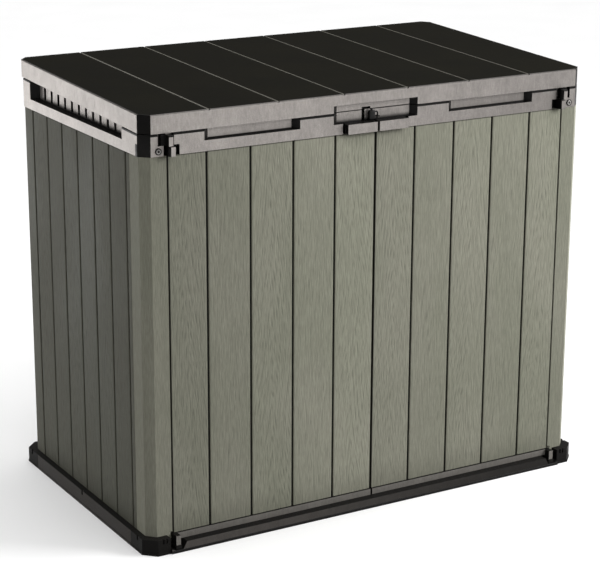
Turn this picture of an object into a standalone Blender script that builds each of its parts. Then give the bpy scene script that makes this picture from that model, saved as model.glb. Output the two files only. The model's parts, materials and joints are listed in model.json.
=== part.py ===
"""Deck storage box: a plank-walled resin box with two front doors and a sloping, rear-hinged lid.

Metres, +Z up, the doors face -Y, the box stands on z = 0 and is centred on x = 0, y = 0.
"""

import math

import bmesh
import bpy
from mathutils import Matrix, Vector

# ---- driving dimensions -------------------------------------------------------------------
GAP = 0.0003  # between two pieces that touch

BASE_HALF_X = 0.7253
BASE_HALF_Y = 0.4260
SILL_FRONT_Y = -0.4315
REAR_RAIL_Y = 0.4315
BASE_CHAMFER = 0.0334
RAIL_TOP = 0.0448
SILL_TOP = 0.0290
FLOOR_TOP = 0.0297
FLANGE_HEIGHT = 0.0060
FLANGE_OUT = 0.0015
RAIL_INNER_X = 0.6600
RAIL_INNER_Y = 0.3703
RAIL_END_X = 0.6520
RAIL_END_Y = 0.3226
FLOOR_CHANNELS_X = (-0.4800, -0.1600, 0.1600, 0.4800)
FLOOR_CHANNEL_WIDTH = 0.0400
FLOOR_CHANNEL_DEPTH = 0.0030
SLOT_DEPTH = 0.0055
SLOT_HEIGHT = 0.0130
SIDE_SLOT_WIDTH = 0.0080
FRONT_SLOT_WIDTH = 0.0040
CORNER_SLOT_Y = -0.3636
CORNER_SLOTS_X = (0.6640, 0.6744)

WALL_HALF_X = 0.7045
WALL_FRONT_Y = -0.3985
WALL_REAR_Y = 0.3910
WALL_THICKNESS = 0.0160
WALL_CHAMFER = 0.0235
WALL_BOTTOM = 0.0300
WALL_TOP = 1.0942
POST_INNER_X = 0.6352
POST_LENGTH_Y = 0.0526
STOP_INNER_X = 0.6120
STOP_FRONT_Y = -0.3745
STOP_REAR_Y = -0.3625
GROOVE_WIDTH = 0.0057
GROOVE_DEPTH = 0.0030
SIDE_PLANK = 0.1018
SIDE_GROOVE_Y = 0.0069
SIDE_LAST_GROOVE_Y = 0.3105
REAR_PLANK = 0.1412

HEADER_HALF_X = 0.7055
HEADER_FRONT_Y = -0.3995
HEADER_REAR_Y = 0.3970
HEADER_BOTTOM = 1.0945
HEADER_TOP = 1.1520
HEADER_THICKNESS = 0.0297
HEADER_CHAMFER = 0.0258
HEADER_REAR_END_X = 0.6500
SLOPE = 0.0263 / 0.8075  # rise of the lid and the header top per metre towards the rear

VENT_FRONT_Y = -0.2826
VENT_REAR_Y = 0.3228
VENT_BOTTOM = 1.1240
VENT_DEPTH = 0.0240
VENT_END_INSET = 0.0180
VENT_SLOTS = 11
VENT_SLOT_PITCH = 0.0465
VENT_SLOT_WIDTH = 0.0140
VENT_CENTRE_Y = 0.0385
VENT_SLOT_SILL = 0.0030
VENT_SLOT_HEAD = 0.0050

LID_HALF_X = 0.7050
LID_FRONT_Y = -0.3995
LID_REAR_Y = 0.4080
LID_CHAMFER = 0.0258
LID_BOTTOM = 1.1540  # at the front edge
LID_TOP = 1.2042  # at the front edge
LID_PANEL_THICKNESS = 0.0092
LID_PANEL_INSET = 0.0060
LID_EDGE_CHAMFER = 0.0025
LID_FRONT_RIM = 0.0240
LID_SIDE_RIM = 0.0180
LID_GROOVES_X = (-0.5110, -0.3045, -0.1020, 0.1020, 0.3045, 0.5110)
LID_GROOVE_WIDTH = 0.0060
LID_GROOVE_DEPTH = 0.0030

DOOR_INNER_X = 0.0030
DOOR_OUTER_X = 0.6308
DOOR_BACK_Y = -0.3765
DOOR_GROOVES_X = (0.1280, 0.2584, 0.3888, 0.5190)
DOOR_BOTTOM = 0.0294
DOOR_BOTTOM_TRIM_TOP = 0.0474
DOOR_BOTTOM_TRIM_FRONT_Y = -0.4050
TRIM_TOP = 1.1520
TRIM_LOWER_END_X = 0.5975
TRIM_UPPER_END_X = 0.6127
POCKET_STEP_Z = 1.1220
POCKET_BACK_Y = -0.3840
POCKET_LOWER_X = 0.6432
POCKET_UPPER_X = 0.6595
RECESS_FLOOR = 1.1232
FINGER_RECESS_X = (0.2385, 0.5253)
FINGER_RECESS_DEPTH = 0.0160
CENTRE_RECESS_HALF_X = 0.1345
CENTRE_RECESS_TOP = 1.1740
CENTRE_RECESS_DEPTH = 0.0150
RECESS_END_INSET = 0.0178

HINGE_X = 0.6280
HINGE_Y = -0.4090
HINGE_FRONT_Y = -0.4190
KNUCKLE_FRONT_Y = -0.4248
PIN_RADIUS = 0.0030
BORE_RADIUS = 0.0034
BOSS_RADIUS = 0.0065
KNUCKLE_SWEEP = 0.0190
KNUCKLE_X = (0.6226, 0.6363)
KNUCKLE_BACK_Y = -0.3960
KNUCKLE_Z = (0.0200, 0.0472)
SEAT_X = (0.6205, 0.6380)
SEAT_Y = (-0.4275, -0.3925)
SEAT_Z = (0.0088, 0.0190)
LOWER_PIN_Z = (0.0150, 0.0475)
UPPER_PIN_Z = (1.0955, 1.1490)
POCKET_MARGIN = 0.0032  # between a bottom hinge's seat and the pocket it lies in
POCKET_RISE = 0.0100
POCKET_FLARE = 0.0195
RELIEF_TOP = 0.0520
LEAF_X = (0.6180, 0.6308)
LEAF_TOP = 1.1200
LEAF_ROOT = 0.0030  # how far a leaf or rib reaches into what carries it
RIB_TOP = 1.1500
RIB_LIFT = 0.0005
CARRIER_X = (0.6340, 0.6500)
CARRIER_FRONT_Y = -0.4000
RIB_X = (0.6245, 0.6370)
RIB_BACK_Y = -0.3970
PLATE_OVERLAP = 0.0200

PULL_OUTER_X = 0.0970
PULL_FRONT_Y = -0.4140
PULL_TOP = 1.1220
PULL_BOTTOM = 1.0950
PULL_NOTCH_X = 0.1055
PULL_NOTCH_DEPTH = 0.0120

TONGUE_X = (-0.0285, 0.0214)
TONGUE_THICKNESS = 0.0044
TONGUE_HEAD_RIGHT_X = -0.0112
TONGUE_HEAD_TOP = 1.1538
TONGUE_SLOT_LEFT_X = -0.0375
TONGUE_SLOT_RIGHT_X = -0.0100
TONGUE_SLOT_TOP = 1.1605
TONGUE_SLOT_Y = (-0.3900, -0.3780)
LUG_X = (0.0040, 0.0136)
LUG_FRONT_Y = -0.3968
LUG_Z = (1.1318, 1.1344)
LUG_HOLE_RADIUS = 0.0034

PADLOCK_X = (-0.0197, -0.0006)
PADLOCK_Z = (1.1240, 1.1500)
PADLOCK_HALF_Y = 0.0050
PADLOCK_Y = -0.3922
NUB_RADIUS = 0.0034
NUB_TOP = 1.1565
SHACKLE_X = 0.0088
SHACKLE_RADIUS = 0.0022
SHACKLE_LEG_Z = (1.1280, 1.1458)
SHACKLE_BEND = 0.0045
SHACKLE_PLAY = 0.0005
SHACKLE_END = 0.0090  # from the body's closed end to the end of the shackle's legs

LID_AXIS_Y = 0.4205
LID_AXIS_Z = 1.1795
LID_KNUCKLE_RADIUS = 0.0085
LID_KNUCKLES_X = (-0.4500, 0.0, 0.4500)
LID_KNUCKLE_HALF = 0.0150
LID_LEAF_LENGTH = 0.0205
KNUCKLE_PLAY = 0.0005
LID_LEAF_Z = (1.1812, 1.1880)
HEADER_LEAF_Z = (1.1620, 1.1765)
KNUCKLE_ROOT = 0.0080
ROD_HALF = 0.4900

STRUT_X = 0.6495
STRUT_WALL_Y = 0.2800
STRUT_WALL_Z = 0.9600
STRUT_LID_Y = 0.3000
STRUT_LID_Z = 1.1800
STRUT_TUBE_RADIUS = 0.0090
STRUT_TUBE_LENGTH = 0.1900
STRUT_ROD_RADIUS = 0.0040
STRUT_ROD_START = 0.0300
STRUT_BORE_START = 0.0220
STRUT_BORE_PLAY = 0.0006
STRUT_EYE_RADIUS = 0.0085
STRUT_EYE_HALF = 0.0045
STRUT_FLAT_END = 0.0130
ROD_EYE_RADIUS = 0.0065
ROD_EYE_HALF = 0.0035
ROD_EYE_BORE = 0.0032
WALL_BRACKET_INNER_X = 0.6640
WALL_BRACKET_HALF_Y = 0.0180
WALL_BRACKET_HALF_Z = 0.0250
WALL_BRACKET_PIN_X = (0.6420, 0.6700)
LID_BRACKET_INNER_X = 0.6600
LID_BRACKET_HALF_Y = 0.0150
LID_BRACKET_Z = (1.1790, 1.2050)
LID_STUD_X = (0.6548, 0.6720)
LID_STUD_RADIUS = 0.0060

SCREW_X = 0.6583
SCREW_Z = 1.1080
SCREW_RADIUS = 0.0090
SCREW_HEIGHT = 0.0024
SCREW_SOCKET_RADIUS = 0.0038
SCREW_SOCKET_DEPTH = 0.0014

BEYOND = 0.0100  # how far a cutter reaches past what it cuts
CUT_OVERLAP = 0.0020  # how far a cut or a boss reaches into the one it joins
SIDES = (("left", -1), ("right", 1))

# ---- scene, collections and materials -----------------------------------------------------


def clear_scene():
    for old in list(bpy.data.objects):
        bpy.data.objects.remove(old)


def collection(name):
    made = bpy.data.collections.new(name)
    bpy.context.scene.collection.children.link(made)
    return made


def plastic(name, colour, roughness, metallic=0.0):
    material = bpy.data.materials.new(name)
    material.use_nodes = True
    shader = material.node_tree.nodes["Principled BSDF"]
    shader.inputs["Base Color"].default_value = (*colour, 1.0)
    shader.inputs["Roughness"].default_value = roughness
    shader.inputs["Metallic"].default_value = metallic
    return material


# ---- shapes, each a new bmesh ------------------------------------------------------------


def block(x, y, z):
    """A box over three (low, high) ranges."""
    shape = bmesh.new()
    bmesh.ops.create_cube(shape, size=1.0)
    size = Vector((x[1] - x[0], y[1] - y[0], z[1] - z[0]))
    centre = Vector((x[1] + x[0], y[1] + y[0], z[1] + z[0])) / 2
    shape.transform(Matrix.Translation(centre) @ Matrix.Diagonal(size).to_4x4())
    return shape


def prism(outline, axis, span):
    """A closed outline in the other two axes, in x-y-z order, extruded along the axis over span."""
    shape = bmesh.new()
    place = {
        "x": lambda a, b, c: (c, a, b),
        "y": lambda a, b, c: (a, c, b),
        "z": lambda a, b, c: (a, b, c),
    }[axis]
    face = shape.faces.new([shape.verts.new(place(a, b, span[0])) for a, b in outline])
    grown = bmesh.ops.extrude_face_region(shape, geom=[face])
    moved = [item for item in grown["geom"] if isinstance(item, bmesh.types.BMVert)]
    bmesh.ops.translate(shape, verts=moved, vec=place(0.0, 0.0, span[1] - span[0]))
    bmesh.ops.recalc_face_normals(shape, faces=shape.faces)
    return shape


def cylinder(axis, centre, radius, span, segments=24):
    """A cylinder along an axis over span, with its centre given in the other two axes."""
    shape = bmesh.new()
    length = span[1] - span[0]
    bmesh.ops.create_cone(
        shape, cap_ends=True, segments=segments, radius1=radius, radius2=radius, depth=length
    )
    middle = (span[0] + span[1]) / 2
    turn, place = {
        "x": (Matrix.Rotation(math.radians(90), 4, "Y"), (middle, *centre)),
        "y": (Matrix.Rotation(math.radians(90), 4, "X"), (centre[0], middle, centre[1])),
        "z": (Matrix.Identity(4), (*centre, middle)),
    }[axis]
    shape.transform(Matrix.Translation(place) @ turn)
    return shape


def together(shapes):
    """Several shapes that don't meet, as one bmesh."""
    joined = bmesh.new()
    for shape in shapes:
        mesh = bpy.data.meshes.new("joined")
        shape.to_mesh(mesh)
        joined.from_mesh(mesh)
        bpy.data.meshes.remove(mesh)
        shape.free()
    return joined


def sloped(shape, above=0.0):
    """The shape sheared to the lid's slope, wholly or only where it is higher than above."""
    for vertex in shape.verts:
        if vertex.co.z > above:
            vertex.co.z += SLOPE * (vertex.co.y - LID_FRONT_Y)
    return shape


def mirrored(shape):
    """The shape reflected to the other side of x = 0."""
    shape.transform(Matrix.Scale(-1.0, 4, (1.0, 0.0, 0.0)))
    bmesh.ops.reverse_faces(shape, faces=shape.faces)
    return shape


def turned_back(shape):
    """The shape reflected from front to rear, about y = 0."""
    shape.transform(Matrix.Scale(-1.0, 4, (0.0, 1.0, 0.0)))
    bmesh.ops.reverse_faces(shape, faces=shape.faces)
    return shape


# ---- objects -----------------------------------------------------------------------------


def mesh_object(name, shape, home):
    mesh = bpy.data.meshes.new(name)
    shape.to_mesh(mesh)
    shape.free()
    made = bpy.data.objects.new(name, mesh)
    home.objects.link(made)
    return made


def piece(name, material, shapes, cuts=(), side=1, pivot=None, fittings=(), bores=()):
    """One sub-part: its shapes joined, less the cuts, then with its fittings joined and bored."""
    steps = [("UNION", shape) for shape in shapes[1:]]
    steps += [("DIFFERENCE", shape) for shape in cuts]
    steps += [("UNION", shape) for shape in fittings]
    steps += [("DIFFERENCE", shape) for shape in bores]
    made = mesh_object(name, mirrored(shapes[0]) if side < 0 else shapes[0], PARTS)
    made.data.materials.append(material)
    for number, (operation, shape) in enumerate(steps):
        shape = mirrored(shape) if side < 0 else shape
        helper = mesh_object(f"{name}_{operation.lower()}_{number}", shape, CUTTERS)
        helper.hide_render = True
        helper.display_type = "WIRE"
        modifier = made.modifiers.new(helper.name, "BOOLEAN")
        modifier.operation = operation
        modifier.object = helper
    if pivot is not None:
        hang_on(made, pivot)
    return made


def hang_on(made, pivot):
    """Hang a piece and its helpers on an empty that stands on the joint's axis."""
    hung = [made] + [modifier.object for modifier in made.modifiers]
    for item in hung:
        item.parent = pivot
        item.matrix_parent_inverse = Matrix.Translation(pivot.location).inverted()


def pivot_at(name, place, parent=None):
    empty = bpy.data.objects.new(name, None)
    empty.empty_display_size = 0.05
    empty.location = place
    PARTS.objects.link(empty)
    if parent is not None:
        empty.parent = parent
        empty.matrix_parent_inverse = Matrix.Translation(parent.location).inverted()
    return empty


def round_off(made):
    """Shade a round piece smooth, keeping its sharp edges."""
    made.data.shade_smooth()
    made.data.set_sharp_from_angle(angle=math.radians(35))
    return made


# ---- outlines ----------------------------------------------------------------------------


def grooved(start, end, outer, inner, grooves):
    """A plank wall's outline: a straight strip with a notch in its outer face at each groove."""
    step = GROOVE_DEPTH if outer < inner else -GROOVE_DEPTH
    points = [(start, outer)]
    for middle in grooves:
        points += [
            (middle - GROOVE_WIDTH / 2, outer),
            (middle - GROOVE_WIDTH / 3, outer + step),
            (middle + GROOVE_WIDTH / 3, outer + step),
            (middle + GROOVE_WIDTH / 2, outer),
        ]
    return points + [(end, outer), (end, inner), (start, inner)]


def recess_plan(x, front_y, depth):
    """A recess seen from above, with both ends slanting in towards its back."""
    lead = BEYOND * RECESS_END_INSET / depth
    return [
        (x[0] - lead, front_y - BEYOND),
        (x[1] + lead, front_y - BEYOND),
        (x[1] - RECESS_END_INSET, front_y + depth),
        (x[0] + RECESS_END_INSET, front_y + depth),
    ]


# ---- the base ----------------------------------------------------------------------------


def floor_panel():
    """A closed double-walled slab with shallow drain channels across its underside."""
    half_x = RAIL_INNER_X - GAP
    half_y = RAIL_INNER_Y - GAP
    half = FLOOR_CHANNEL_WIDTH / 2
    length = (-half_y - BEYOND, half_y + BEYOND)
    height = (-BEYOND, FLOOR_CHANNEL_DEPTH)
    channels = together([block((x - half, x + half), length, height) for x in FLOOR_CHANNELS_X])
    slab = block((-half_x, half_x), (-half_y, half_y), (0.0, FLOOR_TOP))
    piece("floor_panel", BLACK, [slab], [channels])


def screw_slot(axis, at, outer, width):
    """A short slot in a rail's outer face across an axis, open at the rail's top."""
    across = (at - width / 2, at + width / 2)
    inward = -1 if outer > 0 else 1
    into = sorted((outer + inward * SLOT_DEPTH, outer - inward * BEYOND))
    height = (RAIL_TOP - SLOT_HEIGHT, RAIL_TOP + BEYOND)
    return block(into, across, height) if axis == "x" else block(across, into, height)


def base_side_rails():
    outer = BASE_HALF_X
    section = [
        (RAIL_INNER_X, 0.0),
        (outer, 0.0),
        (outer, FLANGE_HEIGHT),
        (outer - FLANGE_OUT, FLANGE_HEIGHT + FLANGE_OUT),
        (outer - FLANGE_OUT, RAIL_TOP),
        (WALL_HALF_X + GAP, RAIL_TOP),
        (WALL_HALF_X + GAP, FLOOR_TOP),
        (RAIL_INNER_X, FLOOR_TOP),
    ]
    for name, side in SIDES:
        rail = prism(section, "y", (-RAIL_END_Y, RAIL_END_Y))
        slot = screw_slot("x", 0.0, outer, SIDE_SLOT_WIDTH)
        piece(f"base_rail_{name}", BLACK, [rail], [slot], side)


def hinge_pocket():
    """The tapered pocket in the sill round a bottom hinge."""
    bottom = SEAT_Z[0] - GAP
    outline = [
        (SEAT_X[0] + GAP - POCKET_MARGIN, bottom),
        (SEAT_X[1] - GAP + POCKET_MARGIN, bottom),
        (RAIL_END_X + BEYOND, bottom + POCKET_RISE),
        (RAIL_END_X + BEYOND, SILL_TOP + BEYOND),
        (SEAT_X[0] - POCKET_FLARE, SILL_TOP + BEYOND),
    ]
    return prism(outline, "y", (SILL_FRONT_Y - BEYOND, HINGE_Y + KNUCKLE_SWEEP + POCKET_MARGIN))


def base_front_rail():
    section = [
        (SILL_FRONT_Y, 0.0),
        (-RAIL_INNER_Y, 0.0),
        (-RAIL_INNER_Y, SILL_TOP),
        (SILL_FRONT_Y + FLANGE_OUT, SILL_TOP),
        (SILL_FRONT_Y + FLANGE_OUT, FLANGE_HEIGHT + FLANGE_OUT),
        (SILL_FRONT_Y, FLANGE_HEIGHT),
    ]
    sill = prism(section, "x", (-RAIL_END_X, RAIL_END_X))
    piece("base_rail_front", BEIGE, [sill], [hinge_pocket(), mirrored(hinge_pocket())])


def base_rear_rail():
    section = [
        (RAIL_INNER_Y, 0.0),
        (REAR_RAIL_Y, 0.0),
        (REAR_RAIL_Y, FLANGE_HEIGHT),
        (REAR_RAIL_Y - FLANGE_OUT, FLANGE_HEIGHT + FLANGE_OUT),
        (REAR_RAIL_Y - FLANGE_OUT, RAIL_TOP),
        (WALL_REAR_Y + GAP, RAIL_TOP),
        (WALL_REAR_Y + GAP, FLOOR_TOP),
        (RAIL_INNER_Y, FLOOR_TOP),
    ]
    piece("base_rail_rear", BLACK, [prism(section, "x", (-RAIL_END_X, RAIL_END_X))])


def base_corner_shapes(wall_y):
    """A front corner of the base, and its cuts, for a wall whose outer face is at -wall_y."""
    end_x, end_y = RAIL_END_X + GAP, RAIL_END_Y + GAP
    body = [
        (end_x, -BASE_HALF_Y),
        (BASE_HALF_X - BASE_CHAMFER, -BASE_HALF_Y),
        (BASE_HALF_X, -BASE_HALF_Y + BASE_CHAMFER),
        (BASE_HALF_X, -end_y),
        (RAIL_INNER_X, -end_y),
        (RAIL_INNER_X, -RAIL_INNER_Y),
        (end_x, -RAIL_INNER_Y),
    ]
    seat = [
        (end_x - BEYOND, -wall_y - GAP),
        (WALL_HALF_X - WALL_CHAMFER + GAP, -wall_y - GAP),
        (WALL_HALF_X + GAP, -wall_y + WALL_CHAMFER - GAP),
        (WALL_HALF_X + GAP, -end_y + BEYOND),
        (end_x - BEYOND, -end_y + BEYOND),
    ]
    # The flange is what is left below a cut that takes a thin skin off the outer faces.
    skin_x, skin_y = BASE_HALF_X - FLANGE_OUT, BASE_HALF_Y - FLANGE_OUT
    skin_chamfer = BASE_CHAMFER - FLANGE_OUT * (2 - math.sqrt(2))
    skin = [
        (end_x - BEYOND, -skin_y),
        (skin_x - skin_chamfer, -skin_y),
        (skin_x, -skin_y + skin_chamfer),
        (skin_x, -end_y + BEYOND),
        (skin_x + 2 * BEYOND, -end_y + BEYOND),
        (skin_x + 2 * BEYOND, -skin_y - 2 * BEYOND),
        (end_x - BEYOND, -skin_y - 2 * BEYOND),
    ]
    high = RAIL_TOP + BEYOND
    cuts = [
        prism(seat, "z", (FLOOR_TOP, high)),
        prism(skin, "z", (FLANGE_HEIGHT, high)),
        screw_slot("x", CORNER_SLOT_Y, BASE_HALF_X, SIDE_SLOT_WIDTH),
    ]
    return [prism(body, "z", (0.0, RAIL_TOP))], cuts


def base_corners():
    for name, side in SIDES:
        shapes, cuts = base_corner_shapes(-WALL_FRONT_Y)
        slots = [screw_slot("y", x, -BASE_HALF_Y, FRONT_SLOT_WIDTH) for x in CORNER_SLOTS_X]
        piece(f"base_corner_front_{name}", BLACK, shapes, cuts + [together(slots)], side)
        shapes, cuts = base_corner_shapes(WALL_REAR_Y)
        shapes = [turned_back(shape) for shape in shapes]
        cuts = [turned_back(shape) for shape in cuts]
        piece(f"base_corner_rear_{name}", BLACK, shapes, cuts, side)


# ---- walls and posts ---------------------------------------------------------------------


def side_walls():
    front = -RAIL_END_Y + GAP
    rear = WALL_REAR_Y - WALL_CHAMFER - POST_LENGTH_Y - GAP
    grooves = [SIDE_GROOVE_Y + SIDE_PLANK * number for number in range(-3, 3)]
    grooves.append(SIDE_LAST_GROOVE_Y)
    outline = grooved(front, rear, WALL_HALF_X, WALL_HALF_X - WALL_THICKNESS, grooves)
    for name, side in SIDES:
        wall = prism([(x, y) for y, x in outline], "z", (WALL_BOTTOM, WALL_TOP))
        piece(f"side_wall_{name}", GREEN, [wall], side=side)


def rear_wall():
    half = POST_INNER_X - GAP
    grooves = [REAR_PLANK * (number - 4) for number in range(9)]
    outline = grooved(-half, half, WALL_REAR_Y, WALL_REAR_Y - WALL_THICKNESS, grooves)
    piece("rear_wall", GREEN, [prism(outline, "z", (WALL_BOTTOM, WALL_TOP))])


def corner_posts():
    inner_x = WALL_HALF_X - WALL_THICKNESS
    front = [
        (POST_INNER_X, WALL_FRONT_Y),
        (WALL_HALF_X - WALL_CHAMFER, WALL_FRONT_Y),
        (WALL_HALF_X, WALL_FRONT_Y + WALL_CHAMFER),
        (WALL_HALF_X, WALL_FRONT_Y + WALL_CHAMFER + POST_LENGTH_Y),
        (inner_x, WALL_FRONT_Y + WALL_CHAMFER + POST_LENGTH_Y),
        (inner_x, STOP_REAR_Y),
        (STOP_INNER_X, STOP_REAR_Y),
        (STOP_INNER_X, STOP_FRONT_Y),
        (POST_INNER_X, STOP_FRONT_Y),
    ]
    rear = [
        (POST_INNER_X, WALL_REAR_Y),
        (WALL_HALF_X - WALL_CHAMFER, WALL_REAR_Y),
        (WALL_HALF_X, WALL_REAR_Y - WALL_CHAMFER),
        (WALL_HALF_X, WALL_REAR_Y - WALL_CHAMFER - POST_LENGTH_Y),
        (inner_x, WALL_REAR_Y - WALL_CHAMFER - POST_LENGTH_Y),
        (inner_x, WALL_REAR_Y - WALL_THICKNESS),
        (POST_INNER_X, WALL_REAR_Y - WALL_THICKNESS),
    ]
    height = (WALL_BOTTOM, WALL_TOP)
    for name, side in SIDES:
        relief = cylinder("z", (HINGE_X, HINGE_Y), KNUCKLE_SWEEP, (0.0, RELIEF_TOP), 32)
        piece(f"corner_post_front_{name}", GREEN, [prism(front, "z", height)], [relief], side)
        piece(f"corner_post_rear_{name}", GREEN, [prism(rear, "z", height)], side=side)


# ---- the header frame --------------------------------------------------------------------


def header_sides():
    inner = HEADER_HALF_X - HEADER_THICKNESS
    front = HEADER_FRONT_Y + HEADER_CHAMFER + GAP
    rear = HEADER_REAR_Y - HEADER_CHAMFER - GAP
    back = HEADER_HALF_X - VENT_DEPTH
    lead = BEYOND * VENT_END_INSET / VENT_DEPTH
    mouth = [
        (HEADER_HALF_X + BEYOND, VENT_FRONT_Y - lead),
        (HEADER_HALF_X + BEYOND, VENT_REAR_Y + lead),
        (back, VENT_REAR_Y - VENT_END_INSET),
        (back, VENT_FRONT_Y + VENT_END_INSET),
    ]
    for name, side in SIDES:
        beam = block((inner, HEADER_HALF_X), (front, rear), (HEADER_BOTTOM, HEADER_TOP))
        recess = prism(mouth, "z", (VENT_BOTTOM, HEADER_TOP + 4 * BEYOND))
        slots = []
        for number in range(VENT_SLOTS):
            middle = VENT_CENTRE_Y + (number - (VENT_SLOTS - 1) / 2) * VENT_SLOT_PITCH
            across = (middle - VENT_SLOT_WIDTH / 2, middle + VENT_SLOT_WIDTH / 2)
            height = (VENT_BOTTOM + VENT_SLOT_SILL, HEADER_TOP - VENT_SLOT_HEAD)
            slot = block((inner - BEYOND, back + CUT_OVERLAP), across, height)
            slots.append(sloped(slot, VENT_BOTTOM + BEYOND))
        beam = sloped(beam, VENT_BOTTOM)
        piece(f"header_{name}", BEIGE, [beam], [recess, together(slots)], side)


def rod_bore():
    """The bore for the lid's hinge rod, through every knuckle."""
    return cylinder("x", (LID_AXIS_Y, LID_AXIS_Z), BORE_RADIUS, (-RAIL_END_X, RAIL_END_X), 16)


def header_rear():
    end = HEADER_REAR_END_X - GAP
    front = HEADER_REAR_Y - HEADER_THICKNESS
    beam = block((-end, end), (front, HEADER_REAR_Y), (HEADER_BOTTOM, HEADER_TOP))
    shapes = [sloped(beam, VENT_BOTTOM)]
    for middle in LID_KNUCKLES_X:
        across = (middle - LID_KNUCKLE_HALF, middle + LID_KNUCKLE_HALF)
        shapes.append(block(across, (HEADER_REAR_Y - KNUCKLE_ROOT, LID_AXIS_Y), HEADER_LEAF_Z))
        shapes.append(cylinder("x", (LID_AXIS_Y, LID_AXIS_Z), LID_KNUCKLE_RADIUS, across))
    piece("header_rear", BLACK, shapes, [rod_bore()])


def header_corners():
    inner = HEADER_HALF_X - HEADER_THICKNESS - GAP
    front = [
        (POST_INNER_X, HEADER_FRONT_Y),
        (HEADER_HALF_X - HEADER_CHAMFER, HEADER_FRONT_Y),
        (HEADER_HALF_X, HEADER_FRONT_Y + HEADER_CHAMFER),
        (inner, HEADER_FRONT_Y + HEADER_CHAMFER),
        (inner, STOP_REAR_Y),
        (STOP_INNER_X, STOP_REAR_Y),
        (STOP_INNER_X, STOP_FRONT_Y),
        (POST_INNER_X, STOP_FRONT_Y),
    ]
    rear = [
        (HEADER_REAR_END_X, HEADER_REAR_Y),
        (HEADER_HALF_X - HEADER_CHAMFER, HEADER_REAR_Y),
        (HEADER_HALF_X, HEADER_REAR_Y - HEADER_CHAMFER),
        (inner, HEADER_REAR_Y - HEADER_CHAMFER),
        (inner, HEADER_REAR_Y - HEADER_THICKNESS),
        (HEADER_REAR_END_X, HEADER_REAR_Y - HEADER_THICKNESS),
    ]
    pocket = [
        (STOP_INNER_X - BEYOND, HEADER_BOTTOM - BEYOND),
        (POCKET_LOWER_X, HEADER_BOTTOM - BEYOND),
        (POCKET_LOWER_X, POCKET_STEP_Z),
        (POCKET_UPPER_X, POCKET_STEP_Z),
        (POCKET_UPPER_X, HEADER_TOP + 3 * BEYOND),
        (STOP_INNER_X - BEYOND, HEADER_TOP + 3 * BEYOND),
    ]
    height = (HEADER_BOTTOM, HEADER_TOP)
    rib_z = (POCKET_STEP_Z + RIB_LIFT, RIB_TOP)
    for name, side in SIDES:
        body = sloped(prism(front, "z", height), VENT_BOTTOM)
        hollow = prism(pocket, "y", (HEADER_FRONT_Y - BEYOND, POCKET_BACK_Y))
        hinge = [
            block(CARRIER_X, (CARRIER_FRONT_Y, POCKET_BACK_Y + LEAF_ROOT), rib_z),
            block(RIB_X, (HINGE_FRONT_Y, RIB_BACK_Y), rib_z),
            cylinder("z", (HINGE_X, HINGE_Y), BOSS_RADIUS, rib_z),
        ]
        bore = hinge_bore(rib_z)
        corner = f"header_corner_front_{name}"
        piece(corner, BLACK, [body], [hollow], side, fittings=hinge, bores=[bore])
        body = sloped(prism(rear, "z", height), VENT_BOTTOM)
        piece(f"header_corner_rear_{name}", BLACK, [body], side=side)


def hinge_bore(span):
    """A door hinge's bore, through whatever lies in span."""
    reach = (span[0] - BEYOND, span[1] + BEYOND)
    return cylinder("z", (HINGE_X, HINGE_Y), BORE_RADIUS, reach, 16)


def hinge_hardware():
    for name, side in SIDES:
        centre = (SCREW_X, SCREW_Z)
        thickness = (HEADER_FRONT_Y - SCREW_HEIGHT, HEADER_FRONT_Y - GAP)
        head = cylinder("y", centre, SCREW_RADIUS, thickness, 32)
        hollow = (HEADER_FRONT_Y - BEYOND, HEADER_FRONT_Y - SCREW_HEIGHT + SCREW_SOCKET_DEPTH)
        socket = cylinder("y", centre, SCREW_SOCKET_RADIUS, hollow, 6)
        round_off(piece(f"top_hinge_screw_{name}", STEEL, [head], [socket], side))
        pin = cylinder("z", (HINGE_X, HINGE_Y), PIN_RADIUS, UPPER_PIN_Z)
        round_off(piece(f"top_hinge_pin_{name}", STEEL, [pin], side=side))
        seat = block(SEAT_X, SEAT_Y, SEAT_Z)
        pin = cylinder("z", (HINGE_X, HINGE_Y), PIN_RADIUS, LOWER_PIN_Z)
        piece(f"base_hinge_socket_{name}", BLACK, [seat, pin], side=side)


# ---- the lid -----------------------------------------------------------------------------


def lid_outline(inset):
    half_x = LID_HALF_X - inset
    front, rear = LID_FRONT_Y + inset, LID_REAR_Y - inset
    chamfer = LID_CHAMFER - inset * (2 - math.sqrt(2))
    return [
        (-half_x + chamfer, front),
        (half_x - chamfer, front),
        (half_x, front + chamfer),
        (half_x, rear - chamfer),
        (half_x - chamfer, rear),
        (-half_x + chamfer, rear),
        (-half_x, rear - chamfer),
        (-half_x, front + chamfer),
    ]


def rim_section(outer, inner):
    """A rim's section: a chamfered top edge, and a ledge that the plank panel lies on."""
    inward = 1 if inner > outer else -1
    lip = outer + inward * (LID_PANEL_INSET - GAP)
    ledge = LID_TOP - LID_PANEL_THICKNESS - GAP
    return [
        (outer, LID_BOTTOM),
        (outer, LID_TOP - LID_EDGE_CHAMFER),
        (outer + inward * LID_EDGE_CHAMFER, LID_TOP),
        (lip, LID_TOP),
        (lip, ledge),
        (inner, ledge),
        (inner, LID_BOTTOM),
    ]


def lid_groove_cutters():
    half = LID_GROOVE_WIDTH / 2
    length = (LID_FRONT_Y - BEYOND, LID_REAR_Y + BEYOND)
    height = (LID_TOP - LID_GROOVE_DEPTH, LID_TOP + BEYOND)
    return sloped(together([block((x - half, x + half), length, height) for x in LID_GROOVES_X]))


def lid_top_panel(pivot):
    panel = prism(lid_outline(LID_PANEL_INSET), "z", (LID_TOP - LID_PANEL_THICKNESS, LID_TOP))
    piece("lid_top_panel", BLACK, [sloped(panel)], [lid_groove_cutters()], pivot=pivot)


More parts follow.
